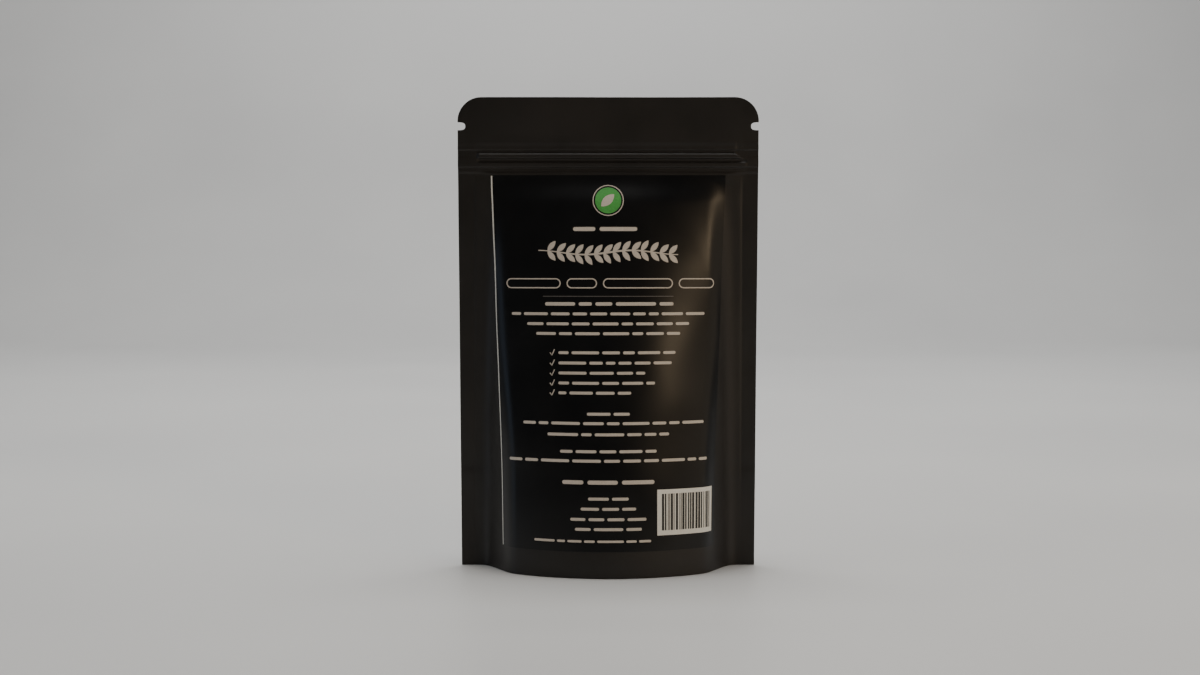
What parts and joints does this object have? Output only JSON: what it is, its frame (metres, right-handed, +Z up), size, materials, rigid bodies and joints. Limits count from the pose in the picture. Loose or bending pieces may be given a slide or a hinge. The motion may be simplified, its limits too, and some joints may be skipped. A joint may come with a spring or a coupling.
{
  "type": "stand-up zip pouch",
  "caption": "Filled stand-up pouch of matte black film with a press-to-close zip, tear notches, a folded bottom gusset it stands on, and a label on its front.",
  "frame": {"origin": "middle of the pouch's foot, on the surface it stands on", "axes": "+Z up along the pouch's height, +X to the right seen from the front, front and label face -Y"},
  "size_m": [0.1298, 0.0673, 0.2028],
  "materials": {
    "black_film": "matte laminated film",
    "zip_plastic": "smooth, milky",
    "label_black": "semi-gloss film label",
    "cone_brown": "dry and rough"
  },
  "bodies": {
    "root": {"front_panel": "black_film", "back_panel": "black_film", "bottom_gusset": "black_film", "zip_bead_strip": "zip_plastic", "zip_groove_strip": "zip_plastic", "label": "label_black", "alder_cones": "cone_brown"}
  },
  "joints": []
}
